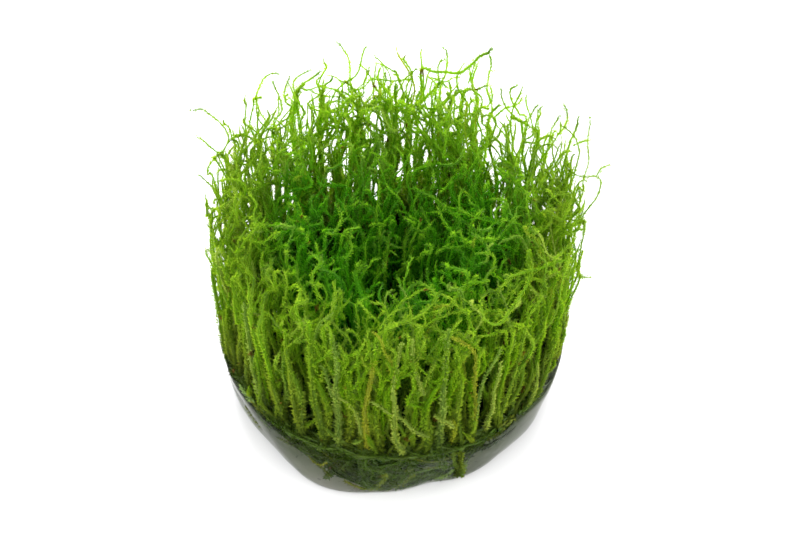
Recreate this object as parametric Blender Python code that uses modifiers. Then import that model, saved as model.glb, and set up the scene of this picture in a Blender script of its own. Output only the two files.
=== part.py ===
"""Java moss growing in a shallow bowl of clear gel.

The bowl is a clear, thick-floored dish with a flat foot. A mat of tangled old
moss fills its hollow, and a lawn of upright shoots stands on the mat, in tufts
of six. Units are metres, +Z is up and the origin is the centre of the foot.
"""
import math
import random

import bmesh
import bpy
from mathutils import Matrix, Vector

MM = 0.001

# Clear bowl: radius and height down its outer side, from the rim to the foot
RIM_RADIUS = 42.5 * MM
RIM_HEIGHT = 18.0 * MM
FOOT_RADIUS = 36.6 * MM
OUTER_SIDE = (
    (RIM_RADIUS, RIM_HEIGHT),
    (41.8 * MM, 13.0 * MM),
    (40.7 * MM, 8.0 * MM),
    (39.4 * MM, 3.6 * MM),
    (38.4 * MM, 1.2 * MM),
    (FOOT_RADIUS, 0.0),
)
TURN_STEPS = 60

# Swells of the lower edge: direction, half width in degrees, and size
SWELLS = (
    (248.0, 17.0, 2.2 * MM),
    (286.0, 9.0, -1.7 * MM),
    (335.0, 10.0, 0.4 * MM),
)
SWELL_AT_RIM = 0.2

# Hollow of the bowl, from the middle of its floor to the rim: radius, height,
# and how far each point drops and moves in where the moss reaches the foot
HOLLOW_SIDE = (
    (0.0, 7.0 * MM, 0.0, 0.0),
    (20.0 * MM, 7.5 * MM, 2.0 * MM, 0.0),
    (30.0 * MM, 9.0 * MM, 6.5 * MM, 0.3 * MM),
    (36.5 * MM, 11.5 * MM, 8.7 * MM, 1.3 * MM),
    (39.4 * MM, 14.5 * MM, 7.5 * MM, 2.2 * MM),
    (40.6 * MM, RIM_HEIGHT, 0.0, 0.8 * MM),
)
POCKET_DIRECTION = 277.0
POCKET_HALF_WIDTH = 17.0

# Mat of old moss in the hollow
GAP = 0.3 * MM
MAT_SLOPE_GAP = 0.4 * MM
MAT_TOP = 17.7 * MM

# Tufts of shoots: rings of radius, count and turn in degrees
TUFT_RINGS = (
    (0.0, 1, 0.0),
    (12.3 * MM, 6, 15.0),
    (23.6 * MM, 11, 4.0),
    (34.3 * MM, 16, 8.0),
)
TUFT_RADIUS = 5.9 * MM
TUFT_FOOT = MAT_TOP + GAP
TUFT_FOOT_DEPTH = 1.6 * MM
SHOOT_GAP = 0.35 * MM

# Shoots: share of the height, and width there as a share of the foot's width
SHOOT_STEPS = ((0.25, 1.0), (0.55, 0.96), (0.82, 0.66), (1.0, 0.1))
TIP_HEIGHT = 62.5 * MM
TIP_HEIGHT_SPREAD = 3.5 * MM
CENTRE_DIP = 9.0 * MM
CENTRE_DIP_RADIUS = 20.0 * MM
LAWN_FLARE = 0.11
TUFT_FAN = 0.2
LEAN = 2.2 * MM
LEAN_WAVE = 17.0 * MM
TIP_WANDER = 1.1 * MM

# Tips of the long shoots that stand out of the lawn
STRAY_TIPS = (
    (-47.5 * MM, 12.0 * MM, 75.0 * MM),
    (-47.0 * MM, 5.0 * MM, 58.0 * MM),
    (-29.5 * MM, 35.0 * MM, 68.0 * MM),
    (-16.0 * MM, 43.5 * MM, 70.0 * MM),
    (11.0 * MM, 44.0 * MM, 69.0 * MM),
    (23.5 * MM, 40.0 * MM, 73.0 * MM),
    (31.0 * MM, 34.0 * MM, 66.0 * MM),
    (38.8 * MM, 22.0 * MM, 71.0 * MM),
    (45.0 * MM, 17.0 * MM, 71.0 * MM),
    (49.0 * MM, 8.0 * MM, 65.0 * MM),
)

BOWL_COLOUR = (0.62, 0.68, 0.60)
MAT_COLOUR = (0.055, 0.095, 0.022)
TUFT_COLOURS = ((0.10, 0.24, 0.02), (0.14, 0.30, 0.03), (0.18, 0.33, 0.05))


def clear_scene():
    """Remove every object that the file opened with."""
    for obj in list(bpy.data.objects):
        bpy.data.objects.remove(obj, do_unlink=True)


def new_collection(name):
    """Make a collection in the scene."""
    collection = bpy.data.collections.new(name)
    bpy.context.scene.collection.children.link(collection)
    return collection


def plain_material(name, colour, roughness, transmission=0.0):
    """Make a Principled material of one colour."""
    material = bpy.data.materials.new(name)
    material.use_nodes = True
    shader = material.node_tree.nodes["Principled BSDF"]
    shader.inputs["Base Color"].default_value = (*colour, 1.0)
    shader.inputs["Roughness"].default_value = roughness
    shader.inputs["Metallic"].default_value = 0.0
    shader.inputs["Transmission Weight"].default_value = transmission
    return material


def turned(name, profile, collection):
    """Turn a profile of radii and heights into a closed mesh object."""
    guide = bpy.data.meshes.new(name + "_profile")
    bm = bmesh.new()
    corners = [bm.verts.new((radius, 0.0, height)) for radius, height in profile]
    for above, below in zip(corners, corners[1:]):
        bm.edges.new((above, below))
    bm.to_mesh(guide)
    bm.free()
    spun = bpy.data.objects.new(name + "_turning", guide)
    collection.objects.link(spun)
    screw = spun.modifiers.new("turn", "SCREW")
    screw.steps = TURN_STEPS
    screw.render_steps = TURN_STEPS
    screw.use_merge_vertices = True
    screw.merge_threshold = 0.00001
    evaluated = spun.evaluated_get(bpy.context.evaluated_depsgraph_get())
    mesh = bpy.data.meshes.new_from_object(evaluated)
    mesh.name = name
    bpy.data.objects.remove(spun, do_unlink=True)
    obj = bpy.data.objects.new(name, mesh)
    collection.objects.link(obj)
    return obj


def bump(direction, centre, half_width):
    """A smooth bump of height 1 around a direction, all in degrees."""
    turn = (direction - centre + 180.0) % 360.0 - 180.0
    return math.exp(-((turn / half_width) ** 2))


def direction_of(point):
    """The compass direction of a point about the bowl's axis, in degrees."""
    return math.degrees(math.atan2(point.y, point.x)) % 360.0


def swell(direction, height):
    """How far the bowl's outer side stands out from a circle."""
    share = max(0.0, 1.0 - height / RIM_HEIGHT)
    fade = SWELL_AT_RIM + (1.0 - SWELL_AT_RIM) * share
    return fade * sum(size * bump(direction, centre, width) for centre, width, size in SWELLS)


def move_radially(vert, step):
    """Move a vertex away from the axis by a distance."""
    flat = Vector((vert.co.x, vert.co.y, 0.0))
    if flat.length > 1.0 * MM:
        vert.co += flat.normalized() * step


def hollow_profile(gap, slope_gap):
    """Radius and height up the hollow, held off by a gap, without the rim."""
    points = []
    for radius, height, drop, _ in HOLLOW_SIDE[:-1]:
        sloped = drop > 3.0 * MM
        side_gap = slope_gap if sloped else 0.0
        points.append((max(0.0, radius - side_gap), height + gap))
    return points


def shape_hollow(obj, gap, slope_gap):
    """Sink the front of a hollow surface to where the moss reaches the foot."""
    levels = hollow_profile(gap, slope_gap)
    for vert in obj.data.vertices:
        radius = math.hypot(vert.co.x, vert.co.y)
        pocket = bump(direction_of(vert.co), POCKET_DIRECTION, POCKET_HALF_WIDTH)
        for (level_radius, level_height), (_, _, drop, inset) in zip(levels, HOLLOW_SIDE):
            same_radius = abs(radius - level_radius) < 0.05 * MM
            if same_radius and abs(vert.co.z - level_height) < 0.05 * MM:
                move_radially(vert, -inset * pocket)
                vert.co.z -= drop * pocket
                break


def split_faces(obj):
    """Split each face along its shorter diagonal, alike on facing surfaces."""
    bm = bmesh.new()
    bm.from_mesh(obj.data)
    bmesh.ops.triangulate(bm, faces=bm.faces, quad_method="SHORT_EDGE")
    bm.to_mesh(obj.data)
    bm.free()


def make_bowl(collection):
    """The clear bowl, with its wavy lower edge and its hollow."""
    rim_inner = (HOLLOW_SIDE[-1][0], RIM_HEIGHT)
    inside = hollow_profile(0.0, 0.0) + [rim_inner]
    obj = turned("bowl", inside + list(OUTER_SIDE) + [(0.0, 0.0)], collection)
    outer_levels = {round(height / MM, 3): radius for radius, height in OUTER_SIDE}
    for vert in obj.data.vertices:
        radius = math.hypot(vert.co.x, vert.co.y)
        level = outer_levels.get(round(vert.co.z / MM, 3))
        if level is not None and abs(radius - level) < 0.05 * MM:
            move_radially(vert, swell(direction_of(vert.co), vert.co.z))
        elif abs(vert.co.z - RIM_HEIGHT) < 0.05 * MM:
            pocket = bump(direction_of(vert.co), POCKET_DIRECTION, POCKET_HALF_WIDTH)
            move_radially(vert, -HOLLOW_SIDE[-1][3] * pocket)
    shape_hollow(obj, 0.0, 0.0)
    split_faces(obj)
    obj.data.materials.append(plain_material("clear_gel", BOWL_COLOUR, 0.12, transmission=1.0))
    return obj


def make_mat(collection):
    """The mat of old moss that fills the hollow."""
    edge_radius = HOLLOW_SIDE[-1][0] - 1.3 * MM
    profile = hollow_profile(GAP, MAT_SLOPE_GAP)
    profile = profile + [(edge_radius, MAT_TOP), (0.0, MAT_TOP)]
    obj = turned("moss_mat", profile[::-1], collection)
    shape_hollow(obj, GAP, MAT_SLOPE_GAP)
    split_faces(obj)
    obj.data.materials.append(plain_material("wet_moss", MAT_COLOUR, 0.45))
    return obj


def lawn_point(start, middle, rise):
    """Where a shoot is after a share of its height, as lawn and tuft fan out."""
    fan = (start - middle) * TUFT_FAN * rise
    flare = 1.0 + LAWN_FLARE * (1.0 - (1.0 - rise) ** 2)
    lean_x = math.sin(start.y / LEAN_WAVE + 0.6) * LEAN * rise ** 2
    lean_y = math.sin(start.x / LEAN_WAVE + 2.1) * LEAN * rise ** 2
    return Vector((start.x * flare + lean_x, start.y * flare + lean_y, 0.0)) + fan


def tip_height(start, rng):
    """Height of a shoot's tip, lower in the middle of the lawn."""
    dip = CENTRE_DIP * math.exp(-((start.length / CENTRE_DIP_RADIUS) ** 2))
    return TIP_HEIGHT - dip + rng.uniform(-TIP_HEIGHT_SPREAD, TIP_HEIGHT_SPREAD)


def tuft_foot(bm, rng):
    """An uneven six-sided foot, whose top is a fan of six triangles."""
    bmesh.ops.create_cone(
        bm,
        cap_ends=True,
        cap_tris=True,
        segments=6,
        radius1=TUFT_RADIUS,
        radius2=TUFT_RADIUS,
        depth=TUFT_FOOT_DEPTH,
        matrix=Matrix.Translation((0.0, 0.0, TUFT_FOOT + TUFT_FOOT_DEPTH / 2.0)),
    )
    middle_shift = Vector((rng.uniform(-1.0, 1.0), rng.uniform(-1.0, 1.0), 0.0)) * 0.9 * MM
    for vert in bm.verts:
        if math.hypot(vert.co.x, vert.co.y) < 1.0 * MM:
            vert.co += middle_shift
    tops = [face for face in bm.faces if face.normal.z > 0.9]
    bmesh.ops.inset_individual(bm, faces=tops, thickness=SHOOT_GAP, use_even_offset=True)
    return tops


def shoot_path(face, placing, tips, rng):
    """Centres of a shoot at each of its steps, in the tuft's own axes."""
    start = placing @ face.calc_center_median()
    start.z = 0.0
    middle = placing.translation
    foot_top = TUFT_FOOT + TUFT_FOOT_DEPTH
    regular = lawn_point(start, middle, 1.0)
    tip = regular.copy()
    tip.x += rng.uniform(-TIP_WANDER, TIP_WANDER)
    tip.y += rng.uniform(-TIP_WANDER, TIP_WANDER)
    tip.z = tip_height(start, rng)
    stray = tips.get((round(start.x / MM, 1), round(start.y / MM, 1)))
    if stray is not None:
        tip = stray
    points = []
    for rise, _ in SHOOT_STEPS:
        point = lawn_point(start, middle, rise)
        pull = rise ** 3
        point.x += (tip.x - regular.x) * pull
        point.y += (tip.y - regular.y) * pull
        point.z = foot_top + (tip.z - foot_top) * rise
        points.append(placing.inverted() @ point)
    return points


def grow_shoot(bm, face, points):
    """Pull a face of the foot out into a tapered shoot along its path."""
    centre = face.calc_center_median()
    foot_corners = [corner.co - centre for corner in face.verts]
    for point, (_, width) in zip(points, SHOOT_STEPS):
        face = bmesh.ops.extrude_discrete_faces(bm, faces=[face])["faces"][0]
        for corner, offset in zip(face.verts, foot_corners):
            corner.co = point + offset * width
    return face


def tuft_places():
    """Placing matrix of each tuft, ring by ring."""
    places = []
    for radius, count, turn in TUFT_RINGS:
        for index in range(count):
            angle = math.radians(turn) + math.tau * index / count
            centre = Vector((radius * math.cos(angle), radius * math.sin(angle), 0.0))
            places.append(Matrix.Translation(centre) @ Matrix.Rotation(angle, 4, "Z"))
    return places


def stray_starts(places):
    """The start of the shoot that grows out to each stray tip."""
    starts = []
    for place_number, place in enumerate(places):
        bm = bmesh.new()
        for face in tuft_foot(bm, random.Random(place_number)):
            start = place @ face.calc_center_median()
            start.z = 0.0
            starts.append((start, lawn_point(start, place.translation, 1.0)))
        bm.free()
    chosen = {}
    for stray in STRAY_TIPS:
        target = Vector((stray[0], stray[1], 0.0))
        nearest, _ = min(starts, key=lambda pair: (pair[1] - target).length)
        chosen[(round(nearest.x / MM, 1), round(nearest.y / MM, 1))] = Vector(stray)
    return chosen


def make_tufts(collection):
    """The lawn of moss shoots, one object for each tuft of six."""
    places = tuft_places()
    tips = stray_starts(places)
    materials = [
        plain_material("moss_green_%d" % (number + 1), colour, 0.6)
        for number, colour in enumerate(TUFT_COLOURS)
    ]
    for number, place in enumerate(places):
        rng = random.Random(number)
        name = "moss_tuft_%02d" % (number + 1)
        bm = bmesh.new()
        for face in tuft_foot(bm, rng):
            grow_shoot(bm, face, shoot_path(face, place, tips, rng))
        bmesh.ops.recalc_face_normals(bm, faces=bm.faces)
        mesh = bpy.data.meshes.new(name)
        bm.to_mesh(mesh)
        bm.free()
        tuft = bpy.data.objects.new(name, mesh)
        tuft.matrix_world = place
        tuft.data.materials.append(materials[number % len(materials)])
        collection.objects.link(tuft)


def main():
    """Build the moss and its bowl."""
    clear_scene()
    collection = new_collection("java_moss_in_bowl")
    make_bowl(collection)
    make_mat(collection)
    make_tufts(collection)


main()
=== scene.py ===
"""The looks of the java moss and its clear gel bowl.

Every moss shoot is a thin stem with small pointed leaves, made as joined meshes
from numpy arrays: a lawn of upright shoots, their side branches, the long stray
shoots that the photograph shows, and the wet tangle that is set in the gel.
"""
import math

import bmesh
import bpy
import numpy as np
from mathutils import Matrix, Vector


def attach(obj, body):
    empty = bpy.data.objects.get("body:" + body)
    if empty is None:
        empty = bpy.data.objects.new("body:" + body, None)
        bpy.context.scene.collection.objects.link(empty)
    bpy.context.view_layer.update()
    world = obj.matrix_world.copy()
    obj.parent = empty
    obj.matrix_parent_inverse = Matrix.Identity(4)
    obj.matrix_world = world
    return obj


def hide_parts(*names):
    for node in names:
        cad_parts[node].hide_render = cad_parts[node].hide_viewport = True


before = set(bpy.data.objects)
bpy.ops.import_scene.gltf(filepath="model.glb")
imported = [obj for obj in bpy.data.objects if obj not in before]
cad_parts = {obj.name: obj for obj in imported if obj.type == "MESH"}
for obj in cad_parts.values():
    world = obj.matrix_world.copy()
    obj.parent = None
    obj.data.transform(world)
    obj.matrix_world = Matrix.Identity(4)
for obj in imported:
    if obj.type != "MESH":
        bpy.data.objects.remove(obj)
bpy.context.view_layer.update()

MM = 0.001
rng = np.random.default_rng(20)

# Camera, at the photograph's viewing angle
PHOTO_WIDTH = 800
PHOTO_HEIGHT = 533
FOCAL_PIXELS = 2170.0
SENSOR_WIDTH = 36.0
CAMERA_ELEVATION = math.radians(48.0)
CAMERA_DISTANCE = 520.0 * MM
CAMERA_TARGET = np.array([1.3, 0.0, 38.5]) * MM
CAMERA_ROLL = math.radians(2.0)
PIXELS_PER_MM = 4.17

# Stage
FLOOR_SIZE = 6.0
LOWEST_POINT = 0.05 * MM
SKY_STRENGTH = 1.78
LAMP_SIZE = 0.8

# Lamps: name, place and power
LAMPS = (
    ("key", (-0.5, -0.6, 0.75), 2.45),
    ("fill", (0.6, -0.45, 0.7), 2.2),
    ("rim", (-0.05, 0.85, 0.5), 11.5),
)

# Gel bowl
GEL_SEGMENTS = 180
RIM_HEIGHT = 18.0 * MM
GEL_TOP = 17.95
GEL_IOR = 1.08
GEL_ABSORPTION = (0.45, 0.62, 0.35)
GEL_DENSITY = 18.0

# Radius and height of the gel's outside in mm, from the middle of its foot to its top
GEL_SIDE = (
    (0.0, 0.0), (30.0, 0.0), (37.6, 0.0), (38.2, 0.15), (38.7, 0.8), (39.5, 3.6), (40.6, 8.0), (41.7, 13.0),
    (42.2, 16.2), (42.1, 17.4), (41.5, 17.9), (40.6, 17.8), (38.5, 17.6), (34.5, 17.4), (0.0, 17.4),
)

# Outer face of the gel's wall in mm, by height
WALL_LEVELS = (0.0, 0.8, 3.6, 8.0, 13.0, 18.0)
WALL_RADII = (38.0, 38.7, 39.5, 40.6, 41.7, 42.2)

# Swells of the gel's side: direction and half width in degrees, size in mm
SWELLS = ((196.0, 11.0, 1.2), (247.0, 15.5, 2.5), (286.0, 9.0, -1.7), (318.0, 12.0, -0.7), (335.0, 10.0, 0.4))

# Ripples of the gel and the tangle: number round the edge and size in mm, and the seeds
# of those on the gel's side and top and on the tangle's underside, edge and top
RIPPLES = ((3, 0.16), (5, 0.14), (9, 0.1), (14, 0.06), (23, 0.04), (37, 0.02))
SIDE_SEED, LIFT_SEED, CORE_SEED, EDGE_SEED, TOP_SEED = 4, 9, 21, 5, 6

# Looks of the gel: name, clearness, light tint and dark tint (the dark one is painted shade
# across the gel's front half), roughness
GEL_LOOKS = (
    ("clear_gel", 1.0, (0.62, 0.61, 0.56), (0.2, 0.23, 0.14), 0.02),
    ("gel_foot", 0.25, (1.0, 0.99, 0.95), (0.9, 0.91, 0.83), 0.25),
    ("gel_film", 1.0, (0.87, 0.9, 0.8), (0.7, 0.77, 0.6), 0.03),
)
FOOT_LOOK = 1
FILM_LOOK = 2

# Wet tangle in the gel, in mm and degrees: radius, height and drop at the front of its
# underside, then direction and height of its lower edge
MAT_UNDERSIDE = ((0.0, 7.6, 0.0), (20.0, 8.1, 2.4), (29.5, 9.6, 8.0), (34.6, 11.6, 11.2))
MAT_EDGE = (
    (0.0, 15.5), (60.0, 14.0), (95.0, 15.5), (140.0, 13.0), (170.0, 15.5), (203.0, 16.5), (223.0, 15.3),
    (231.0, 15.0), (240.0, 13.2), (245.0, 12.3), (250.0, 10.3), (257.0, 5.6), (262.0, 2.2), (266.0, 0.8),
    (288.0, 0.8), (293.0, 1.5), (297.0, 3.5), (299.0, 12.5), (305.0, 15.5), (330.0, 16.3), (360.0, 15.5),
)
MAT_TOP = 17.0
# The tangle's core gets fixed values, among them painted shade: a shaded leaf value and an inner shade of 0.6
MAT_VALUES = (("along", 0.1), ("tone", 0.5), ("odd", 0.5), ("shade", 0.1), ("inner_painted_shade", 0.6))
FACE_DIRECTION = 277.0
FACE_HALF_WIDTH = 18.0
WALL_COVER = 0.6
CORE_SETBACK = 1.7
CLEAR_DIRECTION = 335.0
CLEAR_HALF_WIDTH = 21.0
CLEAR_DEPTH = 2.1

# Lawn
SHOOT_SPACING = 3.6 * MM
SHOOT_JITTER = 1.1 * MM
LAWN_RADIUS = 41.3 * MM
LAWN_FOOT = 15.5 * MM
LAWN_TOP = 61.0 * MM
FOOT_RADIUS = 39.5 * MM
YOUNG_FOOT = 16.5 * MM
COLUMN_FOOT_RADIUS = 42.0 * MM
COLUMN_TOP_RADIUS = 43.9 * MM
COLUMN_FULL_HEIGHT = 50.0 * MM
COLUMN_SHIFT = 1.2 * MM
HELD_SHARE = 0.92
HELD_BAND = 0.08
CENTRE_DIP = 7.0 * MM
CENTRE_DIP_RADIUS = 20.0 * MM
BACK_RISE = 2.5 * MM
HOLLOW_PLACE = np.array([0.5, -9.5]) * MM
HOLLOW_RADIUS = 7.5 * MM
HOLLOW_DEPTH = 16.0 * MM
EDGE_DEPTH = 8.0 * MM
CAP_SQUEEZE = 0.6
TALL_LEVEL = 70.0 * MM
TALL_ROOM = 4.0 * MM
LEAF_TURN = 2.4

# More shoots round the back and the sides: from and to direction in degrees, number
BACK_GROWTH = ((35.0, 145.0, 18), (145.0, 205.0, 12), (-20.0, 35.0, 12))

# Waves along a shoot: wavelength in mm and sideways slope
UPRIGHT_WAVES = ((75.0, 0.24), (27.0, 0.4))
UPRIGHT_CURLS = ((17.0, 0.6), (9.0, 0.3))
SIDE_WAVES = ((30.0, 0.5), (12.0, 0.42))
YOUNG_WAVES = ((40.0, 0.4), (14.0, 0.15))

# Waves that neighbouring shoots share, and the random way, phase and lean of each
LOCKS = ((36.0, 0.22), (36.0, 0.22), (23.0, 0.2), (23.0, 0.2), (15.0, 0.12), (15.0, 0.12))
LOCK_WAVES = tuple(
    (rng.normal(size=3) * np.array([0.6, 0.6, 0.35]), rng.uniform(0.0, math.tau), rng.normal(size=2) * 0.8)
    for _ in LOCKS
)

# Values that the moss meshes carry for their material: place along the shoot, age, look,
# painted light and shade on each leaf, and painted shade inside the lawn
ATTRIBUTES = ("along", "tone", "odd", "shade", "inner_painted_shade")

# Looks of a shoot, as a value of its "odd", and the colours that they mix in
FROSTED = 0.0
GREEN = 0.5
PALE = 0.92
OLIVE = 0.966
YELLOW = 1.0
ODD_COLOURS = (
    (((0.0, 0.6), (0.14, 0.0)), (0.25, 0.39, 0.1)),
    (((0.88, 0.0), (0.91, 0.8), (0.94, 0.8), (0.95, 0.0)), (0.38, 0.52, 0.11)),
    (((0.95, 0.0), (1.0, 0.65)), (0.4, 0.43, 0.045)),
)

# Moss colours by place along the shoot; the low first stops darken each shoot's foot,
# partly as wet moss and partly as painted shade low in the lawn
YOUNG_GREENS = ((0.03, (0.08, 0.14, 0.02)), (0.14, (0.17, 0.29, 0.031)), (0.3, (0.2, 0.36, 0.027)),
                (0.6, (0.23, 0.47, 0.013)), (0.95, (0.33, 0.53, 0.04)), (1.0, (0.12, 0.28, 0.02)))
OLD_GREENS = ((0.03, (0.1, 0.14, 0.02)), (0.14, (0.2, 0.285, 0.031)), (0.3, (0.24, 0.365, 0.035)),
              (0.6, (0.2, 0.4, 0.011)), (0.95, (0.26, 0.46, 0.027)), (1.0, (0.1, 0.22, 0.015)))
WET_GREENS = ((0.0, (0.056, 0.11, 0.007)), (0.5, (0.064, 0.126, 0.01)), (1.0, (0.078, 0.132, 0.015)))
WET_BROWNS = ((0.0, (0.032, 0.066, 0.006)), (0.5, (0.042, 0.078, 0.007)), (1.0, (0.041, 0.066, 0.007)))
# Darker feet of every shoot: partly wet moss, partly painted shade low in the lawn
FEET_WET_AND_SHADED = ((0.04, (0.5, 0.57, 0.5)), (0.2, (1.0, 1.0, 1.0)))

# Scales of the moss's patches, spots, sheen and cells, in cycles a metre
PATCH_SCALE = 160.0
SPOT_SCALE = 330.0
SHEEN_SCALE = 900.0
CELL_SCALE = 3500.0
MOSS_SPECULAR = 0.17

# Other moss colours: shades that multiply, that is painted shade on leaf roots and deep in the
# lawn; random patches; painted light on the back of the lawn and its way; the way of the
# painted shade on the gel's front half; browned spots; and the tint of light through the leaves
PAINTED_LEAF_SHADE = (0.96, 0.98, 0.92)
PAINTED_INNER_SHADE = (0.22, 0.84, 0.15)
PATCHES = ((0.3, (0.86, 0.88, 0.83)), (0.7, (1.1, 1.06, 1.06)))
PAINTED_BACK_LIGHT = ((0.28, (1.0, 1.0, 1.0)), (0.92, (1.37, 1.33, 1.29)))
PAINTED_BACK_LIGHT_WAY = (0.0, 25.0, 0.0)
PAINTED_GEL_SHADE_WAY = (0.0, -22.0, 0.0)
BROWNED = (0.15, 0.07, 0.015)
GLOW_TINT = (1.25, 1.15, 0.7)

# Widths in pixels over which a placed shoot is thick, and over which one at the front
# runs on down to its foot, and how far the poke stands proud of the gel's face in mm
THICK = 7
FOOTED = 6
POKE_PROUD = 0.2

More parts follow.
